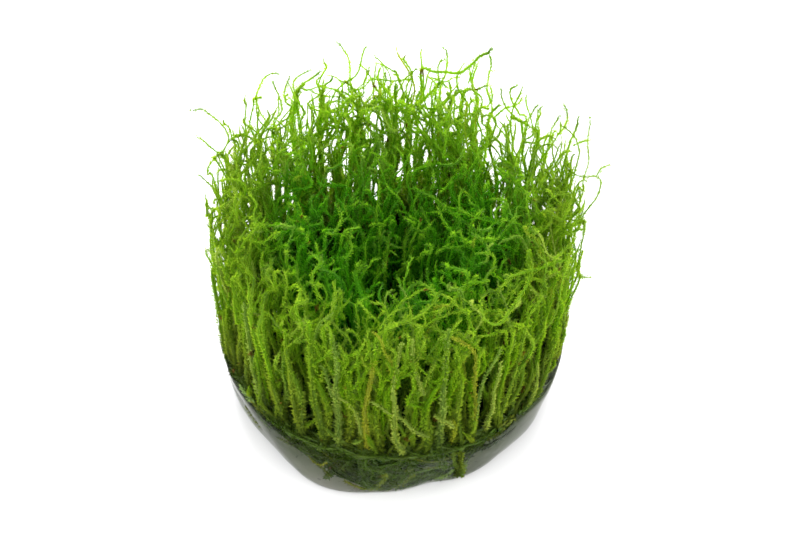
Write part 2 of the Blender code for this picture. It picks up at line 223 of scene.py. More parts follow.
# Long shoots at the edge, as the photograph shows them, tip first: depth (Y in mm) at
# the tip and at the low end, width in pixels, True if it runs on down to its foot, and
# its path in the photograph as x, y, x, y
EDGE_SHOOTS = (
    (14, 12, 4, True, (190, 110, 196, 110, 202, 109, 208, 113, 216, 119, 222, 125, 227, 132, 229, 140,
     226, 146, 222, 152, 214, 159, 208, 168, 208, 175, 213, 177)),
    (12, 14, 5, True, (229, 141, 235, 140, 239, 146, 238, 153, 235, 162, 234, 171)),
    (15, 13, 4, False, (197, 137, 203, 140, 209, 146, 217, 152, 223, 156)),
    (13, 13, 8, True, (221, 153, 229, 164, 235, 175, 242, 187)),
    (22, 16, 5, False, (254, 135, 254, 139, 248, 146, 242, 153, 238, 161, 235, 169)),
    (16, 13, 3, True, (199, 175, 206, 181, 213, 188, 218, 196)),
    (27, 24, 5, True, (260, 143, 258, 149, 255, 156, 249, 165, 245, 175, 245, 181)),
    (25, 27, 4, True, (253, 149, 254, 155, 257, 162, 265, 170, 269, 172)),
    (8, 6, 3, False, (214, 204, 214, 200, 218, 199, 222, 201, 221, 210)),
    (4, 3, 4, True, (207, 224, 212, 230, 214, 237)),
    (-2, -3, 4, True, (221, 253, 213, 253, 206, 249, 207, 256, 212, 265)),
    (36, 35, 4, True, (280, 74, 274, 73, 270, 74, 264, 78, 260, 86, 257, 94, 257, 102, 260, 112, 264, 118,
     270, 125, 278, 131)),
    (33, 31, 4, True, (270, 127, 267, 134, 266, 140, 268, 150, 272, 160)),
    (36, 34, 4, True, (273, 81, 275, 88, 279, 96, 281, 103, 282, 110, 279, 116, 274, 125)),
    (37, 37, 4, True, (290, 76, 286, 86, 284, 96, 287, 100, 292, 103)),
    (38, 37, 4, True, (311, 70, 304, 73, 299, 76, 295, 79, 293, 84, 294, 89, 296, 100)),
    (38, 37, 5, True, (321, 71, 315, 76, 309, 80, 304, 83, 301, 87, 297, 93, 298, 108, 300, 122)),
    (39, 39, 4, False, (323, 79, 323, 85, 317, 87, 309, 90, 302, 89)),
    (39, 38, 5, True, (333, 76, 331, 81, 326, 84, 323, 90, 321, 97, 320, 112, 318, 128)),
    (40, 40, 4, False, (311, 91, 317, 94, 321, 95, 332, 97, 342, 96, 351, 92, 360, 89, 365, 86, 369, 81,
     372, 79, 384, 80, 393, 81, 402, 80, 412, 79)),
    (43, 42, 4, True, (336, 42, 340, 44, 343, 49, 347, 55, 349, 61, 350, 68, 350, 78, 351, 88, 352, 93,
     354, 100, 353, 112)),
    (42, 42, 3, False, (347, 81, 349, 90, 351, 93)),
    (43, 42, 4, False, (360, 65, 364, 68, 367, 71, 366, 78, 364, 83, 358, 88)),
    (43, 41, 4, True, (369, 68, 368, 73, 371, 78, 373, 85, 373, 92, 369, 98, 366, 102, 367, 112, 368, 121)),
    (42, 40, 4, True, (385, 73, 386, 79, 384, 87, 383, 95, 385, 101, 389, 104, 391, 112, 395, 121)),
    (40, 39, 5, True, (341, 91, 339, 100, 340, 110, 345, 116, 349, 123)),
    (41, 40, 6, True, (375, 96, 374, 102, 371, 108, 366, 112, 358, 118)),
    (41, 40, 4, False, (388, 86, 389, 91, 387, 97, 388, 104, 378, 110, 371, 112)),
    (40, 39, 4, False, (337, 112, 333, 119, 327, 125, 323, 131)),
    (43, 41, 4, True, (417, 68, 411, 74, 405, 79, 401, 87, 397, 93, 396, 104, 397, 118)),
    (42, 41, 4, True, (412, 77, 407, 85, 406, 92, 408, 102, 407, 116)),
    (44, 42, 4, True, (443, 48, 446, 50, 447, 54, 447, 64, 446, 71, 444, 78, 441, 83, 436, 92)),
    (44, 42, 3, True, (445, 59, 440, 62, 438, 68, 438, 73, 439, 80, 440, 88, 440, 100)),
    (40, 42, 6, True, (491, 48, 489, 52, 485, 54, 480, 56, 477, 59, 472, 64, 466, 69, 461, 73, 452, 73,
     445, 72, 435, 72, 429, 70, 424, 68, 421, 71, 421, 79, 422, 89, 421, 98, 420, 108, 418, 121)),
    (40, 38, 4, True, (489, 54, 491, 60, 491, 67, 489, 73, 488, 81, 487, 89, 489, 96, 490, 102, 487, 107,
     479, 112)),
    (40, 40, 3, False, (490, 85, 492, 94, 492, 102)),
    (40, 40, 3, False, (496, 71, 491, 71)),
    (40, 39, 4, False, (478, 62, 476, 69, 473, 77, 472, 85)),
    (40, 39, 4, False, (475, 63, 471, 76, 468, 84)),
    (41, 41, 4, False, (459, 77, 452, 78, 447, 82, 441, 81, 433, 78, 428, 78)),
    (41, 40, 4, False, (450, 87, 446, 87, 441, 82)),
    (38, 38, 5, True, (487, 85, 478, 89, 470, 90, 462, 91, 455, 95, 450, 106, 447, 125)),
    (40, 38, 8, True, (471, 88, 464, 92, 462, 104, 461, 118, 459, 136)),
    (40, 38, 8, True, (476, 92, 477, 104, 474, 118, 472, 140)),
    (39, 37, 7, True, (458, 90, 452, 99, 448, 113, 445, 130)),
    (38, 37, 9, True, (303, 84, 297, 93, 295, 108, 292, 126)),
    (39, 38, 9, True, (323, 88, 321, 99, 323, 112, 320, 130)),
    (41, 39, 8, True, (361, 94, 359, 105, 360, 118, 357, 134)),
    (42, 40, 7, True, (396, 84, 395, 96, 397, 110, 394, 128)),
    (41, 39, 7, True, (440, 82, 435, 89, 429, 94, 422, 101, 413, 107, 409, 112)),
    (37, 27, 5, True, (502, 87, 501, 94, 503, 101, 507, 109, 513, 115, 518, 120, 526, 124, 533, 129,
     538, 136)),
    (36, 33, 5, True, (517, 85, 510, 90, 510, 94, 512, 101, 516, 108, 520, 115, 526, 122)),
    (35, 36, 4, False, (522, 98, 519, 103, 514, 106, 506, 108, 499, 113, 494, 118)),
    (37, 36, 6, True, (500, 104, 494, 110, 491, 113, 488, 124, 487, 140)),
    (31, 29, 4, True, (538, 104, 533, 111, 530, 118, 527, 126)),
    (31, 29, 4, True, (543, 106, 538, 111, 538, 116, 538, 126, 538, 140)),
    (25, 27, 4, True, (564, 105, 567, 112, 567, 121, 564, 128, 559, 134, 552, 136)),
    (27, 26, 4, True, (560, 115, 554, 125, 550, 134, 549, 142)),
    (22, 20, 5, True, (578, 117, 577, 126, 573, 136, 569, 146)),
    (21, 14, 4, True, (561, 125, 567, 129, 573, 135, 576, 139, 579, 150, 577, 164)),
    (20, 6, 4, True, (590, 117, 590, 126, 588, 136, 588, 150, 589, 161, 586, 171, 583, 181, 583, 192,
     579, 206, 576, 220, 574, 241, 571, 260)),
    (19, 20, 4, False, (592, 140, 584, 141, 579, 143, 573, 146)),
    (8, 9, 4, False, (609, 165, 602, 168, 597, 175)),
    (13, 2, 4, True, (566, 167, 572, 173, 579, 176, 587, 177, 595, 176, 600, 179, 601, 184, 597, 197,
     590, 206, 583, 216, 578, 227, 574, 236)),
    (12, 10, 4, False, (587, 180, 580, 181, 577, 191, 573, 202)),
    (-3, -5, 4, False, (591, 277, 583, 277, 580, 274)),
    (-2, -8, 5, True, (572, 260, 577, 267, 580, 276, 577, 286, 572, 296)),
    (-5, -10, 3, True, (572, 261, 569, 276, 565, 295)),
    (-2, -12, 8, True, (213, 264, 214, 280, 217, 300, 220, 322, 223, 340, 226, 352)),
    (-6, -13, 8, True, (220, 268, 220, 284, 222, 303, 226, 326, 230, 342)),
    (-5, -11, 7, True, (224, 276, 226, 296, 230, 316, 234, 334)),
)

# Loose shoots over the top of the lawn: height (Z in mm) at the first and the last
# point, width in pixels, True if it runs on down to its foot, path in the photograph
TOP_SHOOTS = (
    (57, 53, 6, True, (418, 192, 426, 194, 434, 198, 440, 203, 447, 208, 452, 214, 459, 218)),
    (56, 50, 5, True, (421, 207, 426, 218, 432, 230, 434, 237)),
    (57, 54, 4, False, (438, 206, 442, 218, 449, 228, 456, 236, 464, 243)),
    (56, 50, 5, True, (465, 246, 466, 256, 468, 268)),
    (57, 57, 4, False, (447, 248, 456, 247, 466, 246, 477, 246)),
    (58, 58, 5, False, (457, 208, 467, 213, 476, 217, 487, 221, 504, 223)),
    (57, 50, 5, True, (465, 222, 474, 235, 478, 248, 481, 257)),
    (60, 57, 5, True, (508, 186, 502, 197, 503, 206, 506, 215, 509, 221, 521, 230)),
    (59, 52, 5, True, (503, 224, 496, 235, 495, 244, 489, 253, 485, 262)),
    (57, 53, 4, True, (498, 246, 504, 253, 505, 260, 500, 271)),
    (53, 42, 6, True, (410, 228, 406, 239, 404, 252, 406, 265, 410, 278)),
    (55, 46, 5, True, (411, 228, 425, 233, 428, 239, 425, 251, 422, 262)),
    (58, 58, 7, True, (441, 264, 452, 268, 461, 271, 469, 281)),
    (57, 53, 5, True, (427, 269, 427, 276, 430, 284, 437, 290)),
    (61, 60, 5, True, (498, 298, 495, 292, 489, 292, 482, 298, 481, 305, 483, 316, 491, 324, 501, 323,
     508, 313, 515, 303, 527, 285, 530, 272, 527, 262, 530, 254)),
    (59, 61, 6, False, (449, 310, 456, 298, 461, 290, 469, 284, 482, 282, 490, 281)),
    (60, 60, 4, False, (448, 314, 462, 311, 470, 308, 479, 307)),
    (61, 60, 5, False, (496, 292, 504, 285, 511, 277, 525, 272, 539, 269, 556, 262, 570, 260)),
    (61, 60, 6, True, (409, 290, 415, 284, 422, 284, 430, 288, 435, 295, 436, 301, 427, 309, 419, 316,
     406, 321, 392, 326, 385, 335)),
    (58, 55, 5, True, (355, 225, 349, 236, 352, 248, 347, 258, 341, 262)),
    (58, 57, 4, True, (335, 202, 341, 213, 340, 224, 333, 234, 325, 239)),
    (59, 55, 4, True, (286, 220, 291, 226, 297, 232, 309, 236, 303, 246, 299, 255)),
    (59, 58, 4, False, (272, 240, 279, 234, 286, 231)),
    (57, 50, 4, True, (379, 203, 375, 214, 379, 226, 380, 240)),
    (55, 45, 5, True, (390, 232, 388, 245, 387, 258, 385, 272)),
    (53, 40, 6, True, (363, 234, 364, 247, 365, 258, 362, 268)),
    (60, 52, 10, True, (365, 264, 356, 273, 358, 285, 363, 298, 367, 314)),
    (59, 52, 7, True, (397, 300, 391, 309, 388, 318, 386, 330)),
    (60, 54, 5, True, (254, 278, 253, 290, 251, 304, 250, 318)),
    (60, 54, 5, True, (297, 265, 298, 279, 304, 292, 306, 306)),
    (60, 54, 6, True, (267, 292, 263, 306, 262, 318, 259, 334)),
    (61, 60, 5, False, (309, 252, 320, 262, 312, 276, 316, 290, 322, 300)),
)

# Thick shoots at the front, tip first: depth under the lawn's face in mm, width in pixels
# at the top and at the foot, look, path in the photograph
FRONT_SHOOTS = (
    (0.0, 5, 9, PALE, (402, 343, 399, 353, 396, 371, 393, 391, 395, 409, 394, 428, 397, 442, 402, 449)),
    (0.0, 5, 7, YELLOW, (374, 360, 373, 368, 371, 380, 368, 393, 365, 410, 366, 428)),
    (0.0, 3, 4, YELLOW, (450, 337, 462, 342, 471, 348, 476, 358, 475, 377, 475, 397, 475, 420)),
    (0.0, 4, 7, FROSTED, (501, 350, 491, 367, 484, 380, 479, 397, 477, 412)),
    (0.0, 4, 9, FROSTED, (320, 366, 325, 371, 331, 393, 336, 402, 339, 416, 338, 434)),
    (0.0, 4, 5, PALE, (331, 388, 340, 398, 350, 405, 357, 417, 361, 434)),
    (0.0, 4, 6, PALE, (369, 402, 376, 404, 387, 412, 402, 419, 415, 431, 429, 437)),
    (0.0, 6, 6, PALE, (435, 416, 447, 422, 454, 427)),
    (0.0, 8, 13, GREEN, (309, 322, 310, 333, 312, 360, 314, 391, 318, 410, 323, 430)),
    (0.0, 6, 10, FROSTED, (331, 335, 334, 348, 337, 358, 337, 377, 336, 392)),
    (3.0, 4, 8, GREEN, (388, 345, 385, 360, 381, 377, 376, 397)),
    (1.3, 5, 9, GREEN, (441, 338, 439, 346, 434, 365, 430, 384, 425, 399, 426, 416, 430, 430)),
    (0.0, 6, 10, FROSTED, (449, 330, 447, 345, 445, 371, 443, 397, 443, 412)),
    (0.0, 6, 10, GREEN, (455, 355, 457, 365, 461, 384, 459, 403)),
    (0.0, 3, 5, PALE, (412, 339, 413, 358, 415, 371, 419, 381, 424, 395)),
    (0.0, 3, 3, GREEN, (417, 352, 420, 354, 418, 359, 415, 362)),
    (0.0, 4, 7, GREEN, (525, 330, 522, 345, 519, 360, 513, 378, 508, 395)),
    (0.0, 3, 7, PALE, (501, 362, 499, 376, 494, 392, 493, 408)),
    (0.0, 6, 10, GREEN, (285, 330, 287, 350, 290, 372, 293, 395, 297, 415)),
    (0.0, 6, 11, GREEN, (262, 318, 265, 340, 268, 362, 273, 385, 279, 402)),
    (0.0, 6, 10, FROSTED, (244, 305, 247, 325, 250, 348, 254, 370, 259, 388)),
)

# The leafy piece that pokes out of the gel's face: width in pixels, look, path in the
# photograph
POKE = (
    (6, GREEN, (457, 447, 461, 456, 459, 466, 457, 476)),
    (4, FROSTED, (453, 451, 454, 460, 458, 468, 462, 475)),
    (4, PALE, (463, 453, 461, 462, 464, 470, 461, 477)),
)

# Wet strands in the gel's face: depth under it in mm, width in pixels, look, path in
# the photograph
FACE_STRANDS = (
    (0.2, 5, OLIVE, (397, 442, 404, 450, 413, 457, 427, 461, 444, 459, 457, 450)),
    (0.2, 8, OLIVE, (378, 488, 388, 487, 397, 484, 406, 478, 415, 470)),
    (0.2, 8, OLIVE, (362, 487, 370, 487, 377, 485, 383, 478, 387, 471)),
    (0.2, 6, OLIVE, (309, 454, 318, 463, 326, 470, 331, 476)),
    (0.2, 5, YELLOW, (345, 480, 353, 484, 361, 487)),
    (0.2, 8, FROSTED, (436, 477, 446, 473, 456, 466, 463, 458)),
    (0.2, 8, FROSTED, (448, 479, 456, 474, 463, 467, 465, 457)),
    (0.2, 8, GREEN, (470, 448, 480, 447, 490, 443, 499, 437)),
    (0.2, 5, OLIVE, (318, 448, 328, 455, 336, 462, 345, 470)),
    (0.2, 5, GREEN, (325, 440, 340, 452, 352, 462, 362, 475)),
    (0.2, 6, OLIVE, (405, 470, 420, 466, 437, 466, 450, 462)),
    (0.2, 6, GREEN, (296, 438, 306, 446, 316, 453, 324, 461)),
    (0.2, 5, GREEN, (330, 470, 340, 476, 352, 478)),
    (0.2, 6, GREEN, (262, 412, 272, 424, 284, 434)),
    (-0.4, 7, FROSTED, (241, 378, 247, 391, 255, 403)),
    (0.3, 5, GREEN, (225, 357, 227, 364, 231, 372)),
    (0.7, 6, GREEN, (232, 374, 238, 387, 246, 399)),
    (0.8, 6, OLIVE, (243, 395, 250, 406, 259, 417)),
    (-0.2, 5, OLIVE, (246, 407, 253, 417, 262, 429)),
    (1.2, 5, OLIVE, (252, 408, 259, 418, 266, 428)),
    (0.2, 4, OLIVE, (279, 437, 287, 441, 298, 447)),
    (0.2, 4, YELLOW, (309, 455, 315, 462, 322, 464, 328, 460)),
    (0.2, 8, GREEN, (327, 476, 331, 473, 335, 470)),
    (-0.4, 6, FROSTED, (256, 408, 264, 420, 272, 429)),
    (-0.4, 5, OLIVE, (252, 398, 260, 410, 270, 420)),
    (0.2, 8, GREEN, (534, 392, 527, 404, 518, 414)),
    (0.2, 7, GREEN, (541, 386, 533, 398, 524, 409)),
    (0.2, 9, OLIVE, (514, 408, 506, 418, 497, 426)),
    (0.2, 9, OLIVE, (505, 425, 495, 433, 484, 437)),
    (0.2, 8, GREEN, (512, 420, 502, 430, 490, 437)),
)


# Camera

def camera_axes():
    """Place, right, up and view direction of the camera."""
    back = np.array([0.0, -math.cos(CAMERA_ELEVATION), math.sin(CAMERA_ELEVATION)])
    level_right = np.array([1.0, 0.0, 0.0])
    level_up = np.cross(back, level_right)
    right = math.cos(CAMERA_ROLL) * level_right + math.sin(CAMERA_ROLL) * level_up
    up = math.cos(CAMERA_ROLL) * level_up - math.sin(CAMERA_ROLL) * level_right
    return CAMERA_TARGET + back * CAMERA_DISTANCE, right, up, -back


def photo_ray(pixel):
    """The camera's place and the direction from it through a pixel of the photograph."""
    place, right, up, forward = camera_axes()
    across = (pixel[0] - PHOTO_WIDTH / 2) / FOCAL_PIXELS
    down = (pixel[1] - PHOTO_HEIGHT / 2) / FOCAL_PIXELS
    return place, forward + right * across - up * down


def photo_points(path):
    """The points of a path in the photograph, which is written as x, y, x, y."""
    return np.reshape(path, (-1, 2))


def photo_path(path, first, last, axis):
    """Points that show on a path, with the given axis going from first to last in mm."""
    pixels = photo_points(path)
    levels = np.linspace(first, last, len(pixels)) * MM
    points = []
    for pixel, level in zip(pixels, levels):
        place, ray = photo_ray(pixel)
        points.append(place + ray * (level - place[axis]) / ray[axis])
    return np.array(points)


def make_camera():
    """The camera, looking down on the object as the photograph does."""
    place, right, up, forward = camera_axes()
    data = bpy.data.cameras.new("camera")
    data.sensor_width = SENSOR_WIDTH
    data.lens = FOCAL_PIXELS * SENSOR_WIDTH / PHOTO_WIDTH
    camera = bpy.data.objects.new("camera", data)
    turn = Matrix((right, up, -forward)).transposed().to_4x4()
    camera.matrix_world = Matrix.Translation(Vector(place)) @ turn
    bpy.context.scene.collection.objects.link(camera)
    bpy.context.scene.camera = camera


# Materials

class Look:
    """A node material while it is put together."""

    def __init__(self, name):
        self.material = bpy.data.materials.new(name)
        self.material.use_nodes = True
        self.nodes = self.material.node_tree.nodes
        self.nodes.clear()
        self.output = self.nodes.new("ShaderNodeOutputMaterial")

    def put(self, value, socket):
        """Lead another node's socket into a socket, or set a value on it."""
        if isinstance(value, bpy.types.NodeSocket):
            self.material.node_tree.links.new(value, socket)
        elif socket.type == "RGBA":
            socket.default_value = (*value, 1.0)
        else:
            socket.default_value = value

    def fill(self, node, sockets, result=0):
        """Fill a node's sockets and return the one that it gives."""
        for name, value in sockets.items():
            self.put(value, node.inputs[name])
        return node.outputs[result]

    def add(self, kind, sockets, result=0):
        """The result of a new node with its sockets filled."""
        return self.fill(self.nodes.new(kind), sockets, result)

    def place(self):
        """The object's own coordinates."""
        return self.add("ShaderNodeTexCoord", {}, "Object")

    def noise(self, scale, detail=2.0):
        """Noise in the object's own coordinates, scale in cycles a metre."""
        sockets = {"Vector": self.place(), "Scale": scale, "Detail": detail}
        return self.add("ShaderNodeTexNoise", sockets, "Fac")

    def slope(self, way):
        """A value that grows along a direction of the object, by the given amount a metre."""
        node = self.nodes.new("ShaderNodeVectorMath")
        node.operation = "DOT_PRODUCT"
        return self.fill(node, {0: self.place(), 1: way}, "Value")

    def attribute(self, name):
        """A value that the mesh carries."""
        node = self.nodes.new("ShaderNodeAttribute")
        node.attribute_name = name
        return node.outputs["Fac"]

    def ramp(self, value, stops):
        """The colour that a value gets from stops of place and colour."""
        node = self.nodes.new("ShaderNodeValToRGB")
        elements = node.color_ramp.elements
        while len(elements) < len(stops):
            elements.new(0.5)
        for element, (place, colour) in zip(elements, stops):
            element.position = place
            element.color = (*colour, 1.0)
        return self.fill(node, {"Fac": value}, "Color")

    def grey(self, value, stops):
        """The number that a value gets from stops of place and number."""
        return self.ramp(value, [(place, (number,) * 3) for place, number in stops])

    def mix(self, share, first, second, blend="MIX"):
        """Two colours mixed by a share."""
        node = self.nodes.new("ShaderNodeMix")
        node.data_type = "RGBA"
        node.blend_type = blend
        return self.fill(node, {0: share, 6: first, 7: second}, 2)

    def multiply(self, first, second):
        """Two colours multiplied."""
        return self.mix(1.0, first, second, "MULTIPLY")

    def bump(self, scale, strength, distance):
        """Small unevenness of a surface."""
        sockets = {"Height": self.noise(scale), "Strength": strength, "Distance": distance}
        return self.add("ShaderNodeBump", sockets, "Normal")

    def finish(self, surface):
        """The material with its surface."""
        self.put(surface, self.output.inputs["Surface"])
        return self.material


def moss_material(name, young, old, painted_tip_light, roughness, translucency):
    """Moss: colour by place on the shoot and by shoot, with small browned spots and darker wet feet;
    painted shade at leaf roots, at the feet and deep in the lawn; painted light on leaf tips and
    on the back of the lawn.
    """
    look = Look(name)
    along = look.attribute("along")
    odd = look.attribute("odd")
    colour = look.mix(look.attribute("tone"), look.ramp(along, young), look.ramp(along, old))
    for stops, other in ODD_COLOURS:
        colour = look.mix(look.grey(odd, stops), colour, other)
    # Darker feet: partly wet moss, partly painted shade low in the lawn
    colour = look.multiply(colour, look.ramp(along, FEET_WET_AND_SHADED))
    # Painted light and shade on each leaf: shaded colour at the root, lit colour at the tip
    painted_shaded_colour = look.multiply(colour, PAINTED_LEAF_SHADE)
    colour = look.mix(look.attribute("shade"), painted_shaded_colour, look.multiply(colour, painted_tip_light))
    # Painted shade deep inside the lawn, filtered green
    colour = look.mix(look.attribute("inner_painted_shade"), colour, look.multiply(colour, PAINTED_INNER_SHADE))
    # Painted light: the lawn's back side made paler, as if lit from behind
    colour = look.multiply(colour, look.ramp(look.slope(PAINTED_BACK_LIGHT_WAY), PAINTED_BACK_LIGHT))
    colour = look.multiply(colour, look.ramp(look.noise(PATCH_SCALE), PATCHES))
    spots = look.grey(look.noise(SPOT_SCALE, 0.0), ((0.79, 0.0), (0.83, 0.85)))
    colour = look.mix(spots, colour, BROWNED)
    solid = look.add("ShaderNodeBsdfPrincipled", {
        "Base Color": colour,
        "Roughness": look.grey(look.noise(SHEEN_SCALE), ((0.3, roughness - 0.1), (0.7, roughness + 0.15))),
        "Specular IOR Level": MOSS_SPECULAR,
        "Normal": look.bump(CELL_SCALE, 0.5, 0.1 * MM),
    })
    glow = look.add("ShaderNodeBsdfTranslucent", {"Color": look.multiply(colour, GLOW_TINT)})
    return look.finish(look.add("ShaderNodeMixShader", {0: translucency, 1: solid, 2: glow}))


def gel_material(name, clearness, light_tint, painted_shade_tint, roughness):
    """Clear wet gel, faintly grey-green, with painted shade: its tint goes darker across the front half; and
    a soft uneven surface.
    """
    look = Look(name)
    # Painted shade: the tint is darkest in a band across the gel's front half and light at the back, with
    # uneven noise
    painted_front_shade = look.nodes.new("ShaderNodeMath")
    painted_front_shade.operation = "MULTIPLY_ADD"
    painted_front_shade = look.fill(painted_front_shade, {0: look.noise(220.0), 1: 0.3, 2: look.slope(PAINTED_GEL_SHADE_WAY)})
    tint = ((0.0, light_tint), (0.4, painted_shade_tint), (0.8, painted_shade_tint), (0.97, light_tint))
    gel = look.add("ShaderNodeBsdfPrincipled", {
        "Base Color": look.ramp(painted_front_shade, tint),
        "Transmission Weight": clearness,
        "IOR": GEL_IOR,
        "Roughness": look.grey(look.noise(400.0), ((0.3, roughness), (0.7, roughness * 2.5))),
        "Normal": look.bump(120.0, 0.35, 1.0 * MM),
    })
    absorb = look.add("ShaderNodeVolumeAbsorption", {"Color": GEL_ABSORPTION, "Density": GEL_DENSITY})
    look.put(absorb, look.output.inputs["Volume"])
    return look.finish(gel)


def floor_material():
    """Plain pale paper floor with a faint grain."""
    look = Look("pale_floor")
    tint = look.grey(look.noise(60.0), ((0.0, 0.83), (1.0, 0.86)))
    return look.finish(look.add("ShaderNodeBsdfPrincipled", {"Base Color": tint, "Roughness": 0.9}))


# Shoots

def unit(vectors):
    """Vectors of length one, along the last axis."""
    return vectors / np.maximum(np.linalg.norm(vectors, axis=-1, keepdims=True), 1e-12)


def smooth(values, low, high):
    """A smooth rise from 0 at low to 1 at high."""
    share = np.clip((values - low) / (high - low), 0.0, 1.0)
    return share * share * (3.0 - 2.0 * share)


def column_radius(height):
    """Radius of the moss lawn at a height."""
    rise = smooth(height, RIM_HEIGHT, COLUMN_FULL_HEIGHT)
    return COLUMN_FOOT_RADIUS + (COLUMN_TOP_RADIUS - COLUMN_FOOT_RADIUS) * rise


def column_axis(height):
    """X and Y of the lawn's middle at a height."""
    rise = smooth(height, RIM_HEIGHT, COLUMN_FULL_HEIGHT)
    return np.stack([np.zeros_like(rise), COLUMN_SHIFT * rise], axis=-1)


def keep_in_column(paths, reach):
    """Bend paths back that would leave the lawn's column, reach is 1 at its edge."""
    axis = column_axis(paths[..., 2])
    flat = paths[..., :2] - axis
    share = np.linalg.norm(flat, axis=-1) / (column_radius(paths[..., 2]) * reach)
    bent = HELD_SHARE + HELD_BAND * np.tanh((share - HELD_SHARE) / HELD_BAND)
    scale = np.where(share > HELD_SHARE, bent, share) / np.maximum(share, 1e-6)
    result = paths.copy()
    result[..., :2] = axis + flat * scale[..., None]
    return result


def bump(directions, centre, half_width):
    """A smooth bump of height 1 around a direction, all in degrees."""
    turn = (directions - centre + 180.0) % 360.0 - 180.0
    return np.exp(-((turn / half_width) ** 2))


def painted_shade_share(points):
    """Share of painted shade: 0 at the lawn's surface and 1 well inside it, less towards the back."""
    inside = column_radius(points[:, 2]) - np.linalg.norm(points[:, :2] - column_axis(points[:, 2]), axis=1)
    below = lawn_top(points) + 2.0 * MM - points[:, 2]
    middle = smooth(inside, 6.5 * MM, 20.0 * MM) * (0.36 + 0.38 * smooth(below, 0.0 * MM, 5.5 * MM))
    inner_painted_shade = np.maximum(smooth(np.minimum(inside, below), 7.0 * MM, 24.0 * MM), middle)
    return inner_painted_shade * (1.0 - 0.7 * smooth(points[:, 1], 8.0 * MM, 28.0 * MM))


def lean_together(points):
    """Sideways slope that neighbouring shoots share, so that they grow in locks."""
    slope = np.zeros(points.shape[:-1] + (2,))
    for (wavelength, size), (way, phase, lean) in zip(LOCKS, LOCK_WAVES):
        angle = points @ way * (math.tau / (wavelength * MM)) + phase
        slope += np.sin(angle)[..., None] * lean * size
    return slope


def wave(count, distances, lengths_amplitudes):
    """Two smooth random waves for each shoot, as sideways slopes along it."""
    total = np.zeros((count, distances.shape[1], 2))
    for wavelength, amplitude in lengths_amplitudes:
        stretch = rng.uniform(0.75, 1.3, (count, 1, 2))
        phase = rng.uniform(0.0, math.tau, (count, 1, 2))
        angle = distances[..., None] * math.tau / (wavelength * MM * stretch) + phase
        total += np.sin(angle) * amplitude * rng.uniform(0.5, 1.3, (count, 1, 2))
    return total


def path_frames(paths):
    """Tangents and two side directions along each path, without twist."""
    tangents = unit(np.gradient(paths, axis=1))
    count, steps = paths.shape[:2]
    side = np.zeros_like(paths)
    start = unit(np.cross(tangents[:, 0], unit(rng.normal(size=(count, 3)))))
    side[:, 0] = start
    for step in range(1, steps):
        last = side[:, step - 1]
        tangent = tangents[:, step]
        side[:, step] = unit(last - tangent * np.sum(last * tangent, axis=-1, keepdims=True))
    return tangents, side, np.cross(tangents, side)


def sample(values, places):
    """Values along each path at fractional places, by straight steps between points."""
    low = np.clip(np.floor(places).astype(int), 0, values.shape[1] - 2)
    share = (places - low)[..., None]
    rows = np.arange(values.shape[0])[:, None]
    return values[rows, low] * (1.0 - share) + values[rows, low + 1] * share


def leaf_places(density, leaves):
    """Places of the leaves along each shoot, closest together where density is high."""
    total = np.cumsum(density, axis=1)
    total = (total - total[:, :1]) / (total[:, -1:] - total[:, :1])
    shares = np.linspace(0.0, 1.0, density.shape[1])
    goal = (np.arange(leaves) + 0.5) / leaves
    return np.array([np.interp(goal, row, shares) for row in total])


